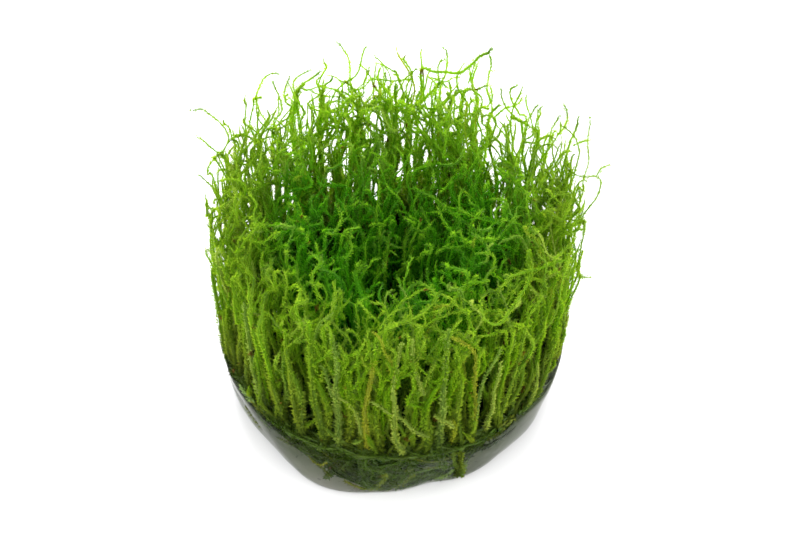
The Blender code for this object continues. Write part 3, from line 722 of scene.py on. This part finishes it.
class Shoots:
    """Many shoots of one kind: their stems, leaves and colour values."""

    def __init__(self, paths, thickness, leaf_length, density, leaves, spread=(0.3, 0.8),
                 sides=3, corners=3, ages=(0.0, 1.0), tone=None, odd=None):
        self.count, self.steps = paths.shape[:2]
        self.paths = paths
        self.sides = sides
        self.leaves = leaves
        self.corners = corners
        self.tone = rng.uniform(0.0, 1.0, self.count) if tone is None else tone
        self.odd = rng.uniform(0.0, 1.0, self.count) if odd is None else odd
        tangents, first, second = path_frames(paths)
        self.tangents = tangents
        along = np.linspace(0.0, 1.0, self.steps)[None, :] * np.ones((self.count, 1))
        self.along = ages[0] + (ages[1] - ages[0]) * along
        self.make_stem(first, second, thickness)
        self.make_leaves(first, second, thickness, leaf_length, density, spread)

    def make_stem(self, first, second, thickness):
        """Corner points round each stem."""
        turns = np.arange(self.sides) * math.tau / self.sides
        ring = first[:, :, None] * np.cos(turns)[:, None] + second[:, :, None] * np.sin(turns)[:, None]
        self.stem = self.paths[:, :, None] + ring * thickness[:, :, None, None]

    def make_leaves(self, first, second, thickness, leaf_length, density, spread):
        """Pointed leaves that stand up and out round each stem."""
        count, leaves = self.count, self.leaves
        share = leaf_places(density, leaves) + rng.uniform(-0.003, 0.003, (count, leaves))
        self.leaf_share = np.clip(share, 0.0, 0.995)
        places = self.leaf_share * (self.steps - 1)
        point = sample(self.paths, places)
        tangent = unit(sample(self.tangents, places))
        one = sample(first, places)
        two = sample(second, places)
        turn = np.arange(leaves)[None, :] * LEAF_TURN + rng.uniform(0.0, math.tau, (count, 1))
        turn = turn + rng.uniform(-0.5, 0.5, (count, leaves))
        out = one * np.cos(turn)[..., None] + two * np.sin(turn)[..., None]
        across = np.cross(tangent, out)
        size = sample(leaf_length[..., None], places) * rng.uniform(0.7, 1.2, (count, leaves, 1))
        lean = rng.uniform(spread[0], spread[1], (count, leaves, 1))
        wide_open = rng.uniform(0.0, 1.0, lean.shape) < 0.3
        lean = np.where(wide_open, lean + rng.uniform(0.4, 0.8, lean.shape), lean)
        blade = tangent * np.cos(lean) + out * np.sin(lean)
        root = point + out * sample(thickness[..., None], places) * 0.8
        tip = root + blade * size
        if self.corners == 3:
            half = across * size * 0.2
            self.blades = np.stack([root - half, root + half, tip - out * size * 0.05], axis=2)
        else:
            half = across * size * 0.22
            middle = root + blade * size * 0.42 + out * size * 0.05
            self.blades = np.stack([root, middle - half, tip, middle + half], axis=2)

    def mesh_arrays(self, chosen):
        """Points, triangles and colour values of the chosen shoots."""
        number = int(np.count_nonzero(chosen))
        stem = self.stem[chosen].reshape(-1, 3)
        per_stem = self.steps * self.sides
        step = np.arange(self.steps - 1)[:, None] * self.sides
        corner = np.arange(self.sides)[None, :]
        beside = (corner + 1) % self.sides
        low_a, low_b = step + corner, step + beside
        high_a, high_b = low_a + self.sides, low_b + self.sides
        one_stem = np.concatenate([
            np.stack([low_a, low_b, high_b], axis=-1).reshape(-1, 3),
            np.stack([low_a, high_b, high_a], axis=-1).reshape(-1, 3),
        ])
        stem_faces = (one_stem[None] + (np.arange(number) * per_stem)[:, None, None]).reshape(-1, 3)
        base = np.arange(number * self.leaves)[:, None] * self.corners + len(stem)
        one_leaf = np.array([[0, 1, 2]]) if self.corners == 3 else np.array([[0, 1, 2], [0, 2, 3]])
        blade_faces = (base[:, None] + one_leaf[None]).reshape(-1, 3)
        # Painted light and shade on each leaf: darker at the root, lighter at the tip; stems get a middle
        # value
        corner_shade = [-0.2, -0.2, 0.5] if self.corners == 3 else [-0.25, 0.15, 0.5, 0.15]
        leaf_shade = rng.uniform(0.0, 0.5, (number * self.leaves, 1)) + np.array(corner_shade)
        points = np.concatenate([stem, self.blades[chosen].reshape(-1, 3)])
        per_blades = self.leaves * self.corners
        start, end = self.along[chosen, :1], self.along[chosen, -1:]
        leaf_along = start + (end - start) * self.leaf_share[chosen]
        values = {
            "along": np.concatenate([np.repeat(self.along[chosen].ravel(), self.sides),
                                     np.repeat(leaf_along.ravel(), self.corners)]),
            "shade": np.concatenate([np.full(len(stem), 0.2), np.clip(leaf_shade, 0.0, 1.0).ravel()]),
            "inner_painted_shade": painted_shade_share(points),
        }
        for label, numbers in (("tone", self.tone[chosen]), ("odd", self.odd[chosen])):
            values[label] = np.concatenate([np.repeat(numbers, per_stem), np.repeat(numbers, per_blades)])
        return points, np.concatenate([stem_faces, blade_faces]), values


def add_value(mesh, label, numbers):
    """Give each point of a mesh a value for its material."""
    attribute = mesh.attributes.new(label, "FLOAT", "POINT")
    attribute.data.foreach_set("value", numbers.astype(np.float32))


def add_object(name, mesh, material):
    """A smooth object of a mesh, in the scene."""
    mesh.shade_smooth()
    mesh.materials.append(material)
    obj = bpy.data.objects.new(name, mesh)
    bpy.context.scene.collection.objects.link(obj)
    return obj


def mesh_object(name, groups, material):
    """One mesh object from several groups of chosen shoots."""
    points, faces = [], []
    values = {label: [] for label in ATTRIBUTES}
    offset = 0
    for shoots, chosen in groups:
        if not np.any(chosen):
            continue
        part_points, part_faces, part_values = shoots.mesh_arrays(chosen)
        points.append(part_points)
        faces.append(part_faces + offset)
        for label in ATTRIBUTES:
            values[label].append(part_values[label])
        offset += len(part_points)
    points = np.concatenate(points).astype(np.float32)
    points[:, 2] = np.maximum(points[:, 2], LOWEST_POINT)
    faces = np.concatenate(faces).astype(np.int32)
    mesh = bpy.data.meshes.new(name)
    mesh.vertices.add(len(points))
    mesh.vertices.foreach_set("co", points.ravel())
    mesh.loops.add(faces.size)
    mesh.loops.foreach_set("vertex_index", faces.ravel())
    mesh.polygons.add(len(faces))
    mesh.polygons.foreach_set("loop_start", np.arange(len(faces), dtype=np.int32) * 3)
    for label, numbers in values.items():
        add_value(mesh, label, np.concatenate(numbers))
    mesh.update(calc_edges=True)
    mesh.validate()
    return add_object(name, mesh, material)


def turned_mesh(name, rings, material):
    """A closed surface from rings of points (rings, segments, 3), poles first and last."""
    bm = bmesh.new()
    loops = [[bm.verts.new(point) for point in ring] for ring in rings[1:-1]]
    poles = [bm.verts.new(rings[0].mean(axis=0)), bm.verts.new(rings[-1].mean(axis=0))]
    for lower, upper in zip(loops, loops[1:]):
        for index in range(len(lower)):
            beside = (index + 1) % len(lower)
            bm.faces.new((lower[index], lower[beside], upper[beside], upper[index]))
    for pole, loop in ((poles[0], loops[0]), (poles[1], loops[-1])):
        for index in range(len(loop)):
            bm.faces.new((pole, loop[index], loop[(index + 1) % len(loop)]))
    bmesh.ops.recalc_face_normals(bm, faces=bm.faces)
    mesh = bpy.data.meshes.new(name)
    bm.to_mesh(mesh)
    bm.free()
    return add_object(name, mesh, material)


# Lawn

def scatter_starts():
    """Starting points of the upright shoots, on an uneven triangular grid."""
    reach = int(LAWN_RADIUS / SHOOT_SPACING) + 2
    rows, columns = np.meshgrid(np.arange(-reach, reach + 1), np.arange(-reach, reach + 1))
    x = (columns + 0.5 * (rows % 2)) * SHOOT_SPACING
    y = rows * SHOOT_SPACING * math.sqrt(0.75)
    points = np.stack([x.ravel(), y.ravel()], axis=1)
    points = points + rng.uniform(-SHOOT_JITTER, SHOOT_JITTER, points.shape)
    way = np.degrees(np.arctan2(points[:, 1], points[:, 0]))
    rim = LAWN_RADIUS - 2.0 * MM * bump(way, CLEAR_DIRECTION, CLEAR_HALF_WIDTH)
    return points[np.linalg.norm(points, axis=1) < rim]


def hollow_share(points):
    """1 at the middle of the dark hollow in the lawn, 0 away from it."""
    distance = np.linalg.norm(points[..., :2] - HOLLOW_PLACE, axis=-1)
    return np.exp(-((distance / HOLLOW_RADIUS) ** 2))


def lawn_top(points):
    """Usual height of the lawn over a point."""
    distance = np.linalg.norm(points[..., :2], axis=-1)
    dip = CENTRE_DIP * np.exp(-((distance / CENTRE_DIP_RADIUS) ** 2))
    back = BACK_RISE * smooth(points[..., 1], 22.0 * MM, 42.0 * MM)
    return LAWN_TOP + back - dip - HOLLOW_DEPTH * hollow_share(points)


def upright_paths(starts, steps):
    """Paths of upright shoots: straight at the foot, wandering higher up."""
    count = len(starts)
    radius = np.linalg.norm(starts, axis=1)
    length = (lawn_top(starts) - LAWN_FOOT) * rng.uniform(0.8, 1.2, count)
    distance = length[:, None] * np.linspace(0.0, 1.0, steps)[None, :]
    own = wave(count, distance, UPRIGHT_WAVES)
    curls = wave(count, distance, UPRIGHT_CURLS) * smooth(distance, 24.0 * MM, 46.0 * MM)[..., None]
    own = own + curls
    loosened = 0.35 + 0.65 * smooth(distance, 12.0 * MM, 44.0 * MM)
    droop = rng.uniform(0.0, 1.0, (count, 1)) ** 3 * 1.5 * smooth(distance, 34.0 * MM, 56.0 * MM)
    outward = starts / np.maximum(radius, 1.0 * MM)[:, None] * (0.06 * (radius / LAWN_RADIUS) ** 2)[:, None]
    step_length = (length / (steps - 1))[:, None]
    point = np.concatenate([starts, np.full((count, 1), LAWN_FOOT)], axis=1)
    paths = [point]
    for step in range(steps - 1):
        away = unit(point[:, :2] - HOLLOW_PLACE) * (0.5 * hollow_share(point))[:, None]
        slope = (own[:, step] + lean_together(point) + away) * loosened[:, step, None] + outward
        direction = unit(np.concatenate([slope, (1.0 - droop[:, step])[:, None]], axis=1))
        point = point + direction * step_length
        paths.append(point)
    paths = np.stack(paths, axis=1)
    cap = lawn_top(paths) + rng.normal(0.0, 3.0 * MM, (count, 1))
    paths[..., 2] -= np.maximum(paths[..., 2] - cap, 0.0) * CAP_SQUEEZE
    return keep_in_column(paths, 1.0)


def fat_and_thin(length, steps, fat_share, scale):
    """Stem radius, leaf length and leaf density of shoots: fat low down and thin above."""
    share = np.linspace(0.0, 1.0, steps)[None, :]
    thin = smooth(share, fat_share[:, None] - 0.2, fat_share[:, None] + 0.12)
    end = np.clip((1.0 - share) * length[:, None] / (2.5 * MM), 0.15, 1.0)
    foot = 0.7 + 0.3 * smooth(share, 0.0, 0.15)
    scale = scale[:, None]
    thickness = (0.56 - 0.37 * thin) * MM * scale * end * foot
    leaf_length = (1.1 - 0.22 * thin) * MM * (0.4 + 0.6 * scale) * (0.5 + 0.5 * end)
    return thickness, leaf_length, 1.0 - 0.55 * thin


def path_lengths(paths):
    """Length of each path."""
    return np.linalg.norm(np.diff(paths, axis=1), axis=2).sum(axis=1)


def walk(starts, ways, lengths):
    """Paths of the given lengths that start at the points and follow the ways."""
    step_lengths = (lengths / (ways.shape[1] - 1))[:, None, None]
    gone = np.cumsum(unit(ways)[:, :-1] * step_lengths, axis=1)
    return np.concatenate([starts[:, None], starts[:, None] + gone], axis=1)


def upright_shoots(starts, steps, leaves, fat_range, sides, bare):
    """Upright shoots with leafy feet and thin tops, bare is the share without leaves."""
    count = len(starts)
    paths = upright_paths(starts, steps)
    fat_share = rng.uniform(fat_range[0], fat_range[1], count)
    scale = rng.uniform(0.72, 1.22, count)
    thickness, leaf_length, density = fat_and_thin(path_lengths(paths), steps, fat_share, scale)
    if bare > 0.0:
        density = density * smooth(np.linspace(0.0, 1.0, steps), bare - 0.1, bare + 0.1)[None, :]
    odd = rng.uniform(0.0, 0.95, count)
    return Shoots(paths, thickness, leaf_length, density, leaves, sides=sides, odd=odd)


def side_shoots(parent, count, start_range, length_range, steps, leaves, lift):
    """Side branches that leave other shoots and turn upwards, lengths in mm."""
    owners = rng.integers(0, parent.count, count)
    places = rng.uniform(start_range[0], start_range[1], count)
    lengths = rng.uniform(length_range[0], length_range[1], count) * MM
    fractional = places * (parent.steps - 1)
    low = np.minimum(fractional.astype(int), parent.steps - 2)
    share = (fractional - low)[:, None]
    origin = parent.paths[owners, low] * (1.0 - share) + parent.paths[owners, low + 1] * share
    parent_way = parent.tangents[owners, low]
    sideways = unit(np.cross(parent_way, unit(rng.normal(size=(count, 3)))))
    angle = rng.uniform(0.45, 1.1, (count, 1))
    first_way = parent_way * np.cos(angle) + sideways * np.sin(angle)
    distance = lengths[:, None] * np.linspace(0.0, 1.0, steps)[None, :]
    slopes = wave(count, distance, SIDE_WAVES)
    turn = smooth(distance, 0.0, 12.0 * MM)[..., None]
    way = first_way[:, None] * (1.0 - 0.5 * turn) + np.array([0.0, 0.0, lift]) * turn
    across = np.cross(parent_way, sideways)[:, None]
    way = way + slopes[..., :1] * sideways[:, None] + slopes[..., 1:] * across
    paths = walk(origin, way, lengths)
    behind = smooth(paths[..., 1], 18.0 * MM, 36.0 * MM)
    cap = lawn_top(paths) + rng.normal(2.0 * MM, 3.0 * MM, (count, 1)) + 3.0 * MM * behind
    paths[..., 2] -= np.maximum(paths[..., 2] - cap, 0.0) * CAP_SQUEEZE
    tall = np.maximum(paths[..., 2] - TALL_LEVEL, 0.0)
    paths[..., 2] += TALL_ROOM * np.tanh(tall / TALL_ROOM) - tall
    paths = keep_in_column(paths, 1.01)
    scale = rng.uniform(0.75, 1.1, count)
    thickness, leaf_length, density = fat_and_thin(lengths, steps, np.full(count, -0.2), scale)
    tone = np.clip(parent.tone[owners] + rng.uniform(-0.25, 0.25, count), 0.0, 1.0)
    shoots = Shoots(paths, thickness, leaf_length, density, leaves, ages=(0.5, 1.0), tone=tone)
    return shoots, owners


def young_shoots(count, steps, leaves):
    """Short leafy shoots that lean and lie between the feet of the edge shoots."""
    turn = rng.uniform(0.0, math.tau, count)
    radius = np.sqrt(rng.uniform(0.78, 1.0, count)) * LAWN_RADIUS
    starts = np.stack([radius * np.cos(turn), radius * np.sin(turn), np.full(count, YOUNG_FOOT)], axis=1)
    lengths = rng.uniform(8.0, 28.0, count) * MM
    heading = rng.uniform(0.0, math.tau, count)
    lean = rng.uniform(0.1, 0.9, count)
    way = np.stack([np.sin(lean) * np.cos(heading), np.sin(lean) * np.sin(heading), np.cos(lean)], axis=1)
    distance = lengths[:, None] * np.linspace(0.0, 1.0, steps)[None, :]
    slopes = wave(count, distance, YOUNG_WAVES)
    bend = np.concatenate([slopes, smooth(distance, 0.0, 14.0 * MM)[..., None] * 0.6], axis=2)
    paths = keep_in_column(walk(starts, way[:, None] + bend, lengths), 1.01)
    paths[..., 2] = np.maximum(paths[..., 2], YOUNG_FOOT)
    scale = rng.uniform(0.45, 0.85, count)
    thickness, leaf_length, density = fat_and_thin(lengths, steps, rng.uniform(0.5, 1.2, count), scale)
    return Shoots(paths, thickness, leaf_length, density, leaves, sides=4, ages=(0.05, 0.5))


def curve_through(points, steps):
    """A smooth curve through the points, in even steps."""
    ends = np.concatenate([[2 * points[0] - points[1]], points, [2 * points[-1] - points[-2]]])
    share = np.linspace(0.0, 1.0, 12, endpoint=False)[:, None]
    pieces = []
    for a, b, c, d in zip(ends, ends[1:], ends[2:], ends[3:]):
        cubic = 3 * (b - c) + d - a
        pieces.append(b + 0.5 * share * (c - a + share * (2 * a - 5 * b + 4 * c - d + share * cubic)))
    fine = np.concatenate(pieces + [points[-1:]])
    gone = np.concatenate([[0.0], np.cumsum(np.linalg.norm(np.diff(fine, axis=0), axis=1))])
    places = np.linspace(0.0, gone[-1], steps)
    return np.stack([np.interp(places, gone, fine[:, axis]) for axis in range(3)], axis=1)


def down_to_foot(points):
    """The points of a shoot, tip first, carried on down to its foot in the lawn."""
    last = points[-1]
    foot = last[:2] * min(1.0, FOOT_RADIUS / np.linalg.norm(last[:2]))
    middle = last[:2] * 0.45 + foot * 0.55
    return np.concatenate([points, [[*middle, (last[2] + LAWN_FOOT) * 0.5], [*foot, LAWN_FOOT]]])


def placed_shoot(points, widths, odd, ages):
    """One shoot, from its points tip first and its widths in pixels at tip and foot."""
    length = np.linalg.norm(np.diff(points, axis=0), axis=1).sum()
    steps = max(8, int(length / (0.9 * MM)))
    path = curve_through(points[::-1], steps)[None]
    share = np.linspace(0.0, 1.0, steps)[None, :]
    half = (widths[1] + (widths[0] - widths[1]) * smooth(share, 0.0, 0.8)) / PIXELS_PER_MM / 2
    leaf_length = np.clip(half * 1.2, 0.75, 1.1)
    end = np.clip((1.0 - share) * length / MM, 0.2, 1.0)
    thickness = np.maximum(half - 0.5 * leaf_length, 0.16) * end
    density = 4.0 + 9.0 * half
    leaves = int(density.mean() * length / MM)
    return Shoots(path, thickness * MM, leaf_length * MM, density, leaves, (0.35, 0.8), 4, 4, ages,
                  rng.uniform(0.0, 1.0, 1), np.array([odd]))


def meet_round(place, ray, centre, radius):
    """The first point of a ray on an upright round face, or its nearest one beside it."""
    start = place[:2] - centre
    a, b = ray[:2] @ ray[:2], start @ ray[:2]
    c = start @ start - radius ** 2
    return place + ray * (-b - math.sqrt(max(b * b - a * c, 0.0))) / a


def face_path(path, depth):
    """Points at a depth in mm under the lawn's face that show on a path."""
    points = []
    for pixel in photo_points(path):
        place, ray = photo_ray(pixel)
        height = 30.0 * MM
        for _ in range(6):
            radius = column_radius(height) - depth * MM
            point = meet_round(place, ray, column_axis(height), radius)
            height = point[2]
        points.append(point)
    return np.array(points)


def wall_path(path, depth):
    """Points at a depth in mm under the gel's outer face that show on a path."""
    points = []
    for pixel in photo_points(path):
        place, ray = photo_ray(pixel)
        radius = 41.0 * MM
        for _ in range(6):
            point = meet_round(place, ray, np.zeros(2), radius)
            way = math.degrees(math.atan2(point[1], point[0])) % 360.0
            radius = (float(mat_wall(way, np.clip(point[2] / MM, 0.5, 18.0))) - depth) * MM
        inward = min(1.0, radius / np.linalg.norm(point[:2]))
        points.append([*(point[:2] * inward), np.clip(point[2], 0.7 * MM, 17.5 * MM)])
    return np.array(points)


def placed_shoots():
    """The shoots that stand out in the photograph."""
    shoots = []
    for table, axis in ((EDGE_SHOOTS, 1), (TOP_SHOOTS, 2)):
        for first, last, width, to_foot, path in table:
            points = photo_path(path, first, last, axis)
            points = down_to_foot(points) if to_foot else points
            ages = (0.04, 1.0) if width > THICK else (0.5, 1.0)
            shoots.append(placed_shoot(points, (width, width), GREEN, ages))
    for depth, top_width, foot_width, odd, path in FRONT_SHOOTS:
        points = face_path(path, depth)
        points = down_to_foot(points) if foot_width > FOOTED else points
        ages = (0.05, 0.5) if foot_width > THICK else (0.14, 0.4)
        shoots.append(placed_shoot(points, (top_width, foot_width), odd, ages))
    for width, odd, path in POKE:
        shoots.append(placed_shoot(wall_path(path, -POKE_PROUD), (width, width), odd, (0.02, 0.12)))
    return shoots


def tuft_centres():
    """Middle of each tuft of the frame, from its solid's box at the foot."""
    names = sorted(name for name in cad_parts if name.startswith("moss_tuft"))
    centres = []
    for name in names:
        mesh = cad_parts[name].data
        points = np.array([vert.co[:] for vert in mesh.vertices])
        foot = points[points[:, 2] < points[:, 2].min() + 0.5 * MM]
        centres.append((foot[:, :2].min(axis=0) + foot[:, :2].max(axis=0)) / 2)
    return names, np.array(centres)


def nearest_tuft(points, centres):
    """Number of the nearest tuft for each point."""
    gaps = np.linalg.norm(points[:, None, :2] - centres[None], axis=2)
    return np.argmin(gaps, axis=1)


def back_starts():
    """Starting points of more shoots round the back and the sides."""
    turn = np.radians(np.concatenate([rng.uniform(start, end, count) for start, end, count in BACK_GROWTH]))
    radius = rng.uniform(33.0, 41.0, len(turn)) * MM
    return np.stack([radius * np.cos(turn), radius * np.sin(turn)], axis=1)


def make_lawn(material):
    """All shoots of the lawn, one mesh for each tuft."""
    starts = scatter_starts()
    at_edge = np.linalg.norm(starts, axis=1) > LAWN_RADIUS - EDGE_DEPTH
    edge = upright_shoots(starts[at_edge], steps=48, leaves=900, fat_range=(0.4, 0.75), sides=4, bare=0.0)
    inner = upright_shoots(starts[~at_edge], steps=38, leaves=400, fat_range=(0.25, 0.7), sides=3, bare=0.25)
    back = upright_shoots(back_starts(), steps=30, leaves=280, fat_range=(0.2, 0.5), sides=3, bare=0.0)
    names, centres = tuft_centres()
    groups = []
    for shoots, branch_count, spur_count in ((edge, 250, 180), (inner, 270, 220), (back, 60, 30)):
        home = nearest_tuft(shoots.paths[:, 0], centres)
        groups.append((shoots, home))
        for side in (
            {"count": branch_count, "start_range": (0.45, 0.8), "length_range": (12.0, 30.0),
             "steps": 24, "leaves": 130, "lift": 1.0},
            {"count": spur_count, "start_range": (0.6, 0.97), "length_range": (3.0, 9.0),
             "steps": 7, "leaves": 44, "lift": 0.3},
        ):
            branches, owners = side_shoots(shoots, **side)
            groups.append((branches, home[owners]))
    for shoots in (young_shoots(count=180, steps=14, leaves=230), *placed_shoots()):
        groups.append((shoots, nearest_tuft(shoots.paths[:, 0], centres)))
    for number, name in enumerate(names):
        chosen = [(shoots, home == number) for shoots, home in groups]
        piece = mesh_object("shoots_" + name[-2:], chosen, material)
        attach(piece, "root")
        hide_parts(name)


# Gel and the tangle in it

def ripple(directions, height, seed):
    """Small uneven waves round the gel, in millimetres."""
    phases = np.random.default_rng(seed).uniform(0.0, math.tau, len(RIPPLES))
    angle = np.radians(directions)
    total = np.zeros_like(angle)
    for order, (count, size) in enumerate(RIPPLES):
        total += size * np.sin(count * angle + phases[order] + height * 0.12 * (order + 1))
    return total


def swell(way):
    """Sum of the gel's swells in a direction, in millimetres."""
    return sum(size * bump(way, centre, width) for centre, width, size in SWELLS)


def moss_face(way):
    """1 where moss fills the gel's face down to the foot, 0 elsewhere, by direction."""
    turn = np.abs((way - FACE_DIRECTION + 180.0) % 360.0 - 180.0)
    return 1.0 - smooth(turn, FACE_HALF_WIDTH - 6.0, FACE_HALF_WIDTH + 5.0)


def mat_wall(way, level):
    """Radius of the gel's outer face in millimetres, by direction and height."""
    wall = np.interp(level, WALL_LEVELS, WALL_RADII)
    return wall + swell(way) * (0.2 + 0.8 * np.clip(1.0 - level / 18.0, 0.0, 1.0))


def mat_edge(way):
    """Height of the tangle's lower edge in millimetres, by direction."""
    return np.interp(way % 360.0, *zip(*MAT_EDGE))


def clear_share(way):
    """Depth in millimetres by which the tangle stands back from the gel's face."""
    return CLEAR_DEPTH * bump(way, CLEAR_DIRECTION, CLEAR_HALF_WIDTH)


def around(angle, reach, level):
    """Points by direction, radius and height, the last two in millimetres."""
    return np.stack([reach * np.cos(angle), reach * np.sin(angle), level], axis=-1) * MM


def make_gel():
    """The clear gel bowl: one soft, slightly uneven clear body."""
    directions = np.linspace(0.0, 360.0, GEL_SEGMENTS, endpoint=False)
    rings = []
    for radius, height in GEL_SIDE:
        fade = 0.2 + 0.8 * max(0.0, 1.0 - height * MM / RIM_HEIGHT)
        outside = radius > 34.0
        reach = radius + (swell(directions) * fade + ripple(directions, height, SIDE_SEED) * 0.8) * outside
        lift = height + (ripple(directions, height, LIFT_SEED) * 1.6 if height > 16.0 else 0.0)
        level = np.clip(lift * np.ones(GEL_SEGMENTS), 0.0, GEL_TOP)
        rings.append(around(np.radians(directions), reach, level))
    clear, foot, film = (gel_material(*look) for look in GEL_LOOKS)
    gel = turned_mesh("gel_bowl", rings, clear)
    gel.data.materials.append(foot)
    gel.data.materials.append(film)
    for face in gel.data.polygons:
        x, y, z = face.center
        way = math.degrees(math.atan2(y, x)) % 360.0
        if z < LOWEST_POINT:
            face.material_index = FOOT_LOOK
        elif z > MAT_TOP * MM or moss_face(way) > 0.5:
            face.material_index = FILM_LOOK
    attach(gel, "root")
    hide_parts("bowl")


def loose_strands(way, level, depth, widths, leaves):
    """Wet strands by direction, height and depth under the gel's outer face."""
    level = np.maximum(level, 1.2)
    paths = around(np.radians(way), mat_wall(way, level) - depth - clear_share(way), level)
    count, steps = way.shape
    share = np.linspace(0.0, 1.0, steps)[None, :]
    ends = np.clip(np.minimum(share, 1.0 - share) * 8.0, 0.2, 1.0)
    scale = rng.uniform(widths[0], widths[1], (count, 1))
    thickness = 0.28 * MM * scale * ends
    leaf_length = 0.8 * MM * scale * (0.6 + 0.4 * ends)
    tone = rng.uniform(0.0, 1.0, count) ** 0.6
    odd = rng.uniform(0.05, 0.86, count)
    density = np.ones((count, steps))
    return Shoots(paths, thickness, leaf_length, density, leaves, (0.3, 0.8), tone=tone, odd=odd)


def make_mat_core(material):
    """The lumpy core of the wet tangle."""
    directions = np.linspace(0.0, 360.0, GEL_SEGMENTS, endpoint=False)
    face = moss_face(directions)
    edge = mat_edge(directions) + 0.6 - 0.5 * face
    rings = []
    for radius, height, drop in MAT_UNDERSIDE:
        lumps = (ripple(directions, height, CORE_SEED) * 2.0 - 0.6) * (radius > 10.0)
        rings.append((np.maximum(radius + lumps, 0.0), height - drop * face + 0.8))
    back = CORE_SETBACK + clear_share(directions)
    top = np.full(GEL_SEGMENTS, MAT_TOP)
    rings.append((mat_wall(directions, edge) - back + ripple(directions, 12.0, EDGE_SEED), edge))
    rings.append((mat_wall(directions, MAT_TOP) - back + ripple(directions, MAT_TOP, TOP_SEED), top))
    rings.append((np.zeros(GEL_SEGMENTS), top))
    rings = [around(np.radians(directions), reach, level) for reach, level in rings]
    core = turned_mesh("mat_core", rings, material)
    for label, value in MAT_VALUES:
        add_value(core.data, label, np.full(len(core.data.vertices), value))
    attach(core, "root")
    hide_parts("moss_mat")


def wall_strands(count, steps):
    """Strands close behind the gel's wall, most of them at the front."""
    at_front = rng.uniform(0.0, 1.0, count) < 0.6
    start_way = np.where(at_front, rng.uniform(203.0, 302.0, count), rng.uniform(0.0, 360.0, count))
    share = np.linspace(-0.5, 0.5, steps)[None, :]
    wiggle = np.sin(share * rng.uniform(5.0, 12.0, (count, 1)) + rng.uniform(0.0, math.tau, (count, 1)))
    way = start_way[:, None] + rng.normal(0.0, 18.0, (count, 1)) * share + wiggle * 2.5
    lowest = mat_edge(way) + rng.exponential(0.6, (count, 1)) - 0.6
    lowest = np.maximum(lowest, 0.5)
    rise = rng.uniform(0.0, 1.0, (count, 1)) + rng.normal(0.0, 0.7, (count, 1)) * share
    rise = np.clip(rise + wiggle[:, ::-1] * 0.12, 0.0, 1.0)
    level = lowest + (17.6 - lowest) * rise
    depth = WALL_COVER + rng.uniform(0.2, 2.6, (count, 1)) + 0.3 * wiggle
    return loose_strands(way, level, depth, widths=(0.8, 1.9), leaves=90)


def top_strands(count, steps):
    """Strands that lie over the tangle's top, with arches further in."""
    share = np.linspace(-0.5, 0.5, steps)[None, :]
    heading = rng.uniform(0.0, math.tau, (count, 1))
    length = rng.uniform(4.0, 14.0, (count, 1))
    front = rng.uniform(0.0, 1.0, count) < 0.35
    start_way = np.where(front, rng.normal(270.0, 26.0, count), rng.uniform(0.0, 360.0, count))
    way = start_way[:, None] + np.cos(heading) * length * share * 1.4
    depth = rng.uniform(0.0, 1.0, (count, 1)) ** 1.3 * 6.0 + 0.2 + np.sin(heading) * length * share * 0.5
    arch = rng.uniform(0.0, 2.2, (count, 1)) * (1.0 - (2.0 * share) ** 2)
    inner = smooth(depth, 0.5, 4.0)
    level = 17.1 + arch * inner + rng.uniform(-0.6, 0.9, (count, 1)) * (0.4 + 0.6 * inner)
    level = level + 0.8 * bump(way, 270.0, 40.0)
    return loose_strands(way, level, np.maximum(depth, 0.1), widths=(0.8, 1.4), leaves=60)


def hanging_strands(count, steps):
    """Strands under the tangle, deeper in the gel."""
    share = np.linspace(-0.5, 0.5, steps)[None, :]
    way = rng.uniform(0.0, 360.0, (count, 1)) + rng.normal(0.0, 16.0, (count, 1)) * share
    depth = rng.uniform(2.0, 12.0, (count, 1)) + rng.normal(0.0, 3.0, (count, 1)) * share
    level = np.minimum(mat_edge(way), 11.5) - 0.25 * depth + rng.normal(0.0, 0.8, (count, 1))
    level = np.maximum(level, 3.0)
    return loose_strands(way, level, np.maximum(depth, 1.0), widths=(0.8, 1.5), leaves=60)


def make_mat(material):
    """The wet tangle: a lumpy core with loose strands all over it."""
    make_mat_core(material)
    strands = [
        wall_strands(count=500, steps=20),
        top_strands(count=370, steps=12),
        hanging_strands(count=100, steps=14),
    ]
    for depth, width, odd, path in FACE_STRANDS:
        points = wall_path(path, depth + width / PIXELS_PER_MM / 2)
        strands.append(placed_shoot(points, (width, width), odd, (0.3, 1.0)))
    everything = [(group, np.ones(group.count, bool)) for group in strands]
    piece = mesh_object("mat_strands", everything, material)
    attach(piece, "root")


# Stage

def make_stage():
    """Pale floor, soft sky and three large soft lamps."""
    bpy.ops.mesh.primitive_plane_add(size=FLOOR_SIZE, location=(0.0, 0.0, -LOWEST_POINT))
    floor = bpy.context.object
    floor.name = "floor"
    floor.data.materials.append(floor_material())
    world = bpy.data.worlds.new("sky")
    world.use_nodes = True
    sky = world.node_tree.nodes["Background"]
    sky.inputs["Color"].default_value = (1.0, 1.0, 1.0, 1.0)
    sky.inputs["Strength"].default_value = SKY_STRENGTH
    bpy.context.scene.world = world
    for name, place, power in LAMPS:
        data = bpy.data.lights.new(name, "AREA")
        data.size = LAMP_SIZE
        data.energy = power
        lamp = bpy.data.objects.new(name, data)
        lamp.location = place
        lamp.rotation_euler = Vector(place).to_track_quat("Z", "Y").to_euler()
        bpy.context.scene.collection.objects.link(lamp)
    bpy.context.scene.view_settings.view_transform = "Standard"


def main():
    """Dress the frame."""
    make_camera()
    # Each material's tip colours paint light on the leaf tips
    make_lawn(moss_material(
        "moss_green", YOUNG_GREENS, OLD_GREENS, painted_tip_light=(0.97, 0.89, 1.12), roughness=0.52, translucency=0.68))
    make_mat(moss_material(
        "wet_moss", WET_GREENS, WET_BROWNS, painted_tip_light=(1.4, 1.35, 1.5), roughness=0.3, translucency=0.15))
    make_gel()
    make_stage()


main()
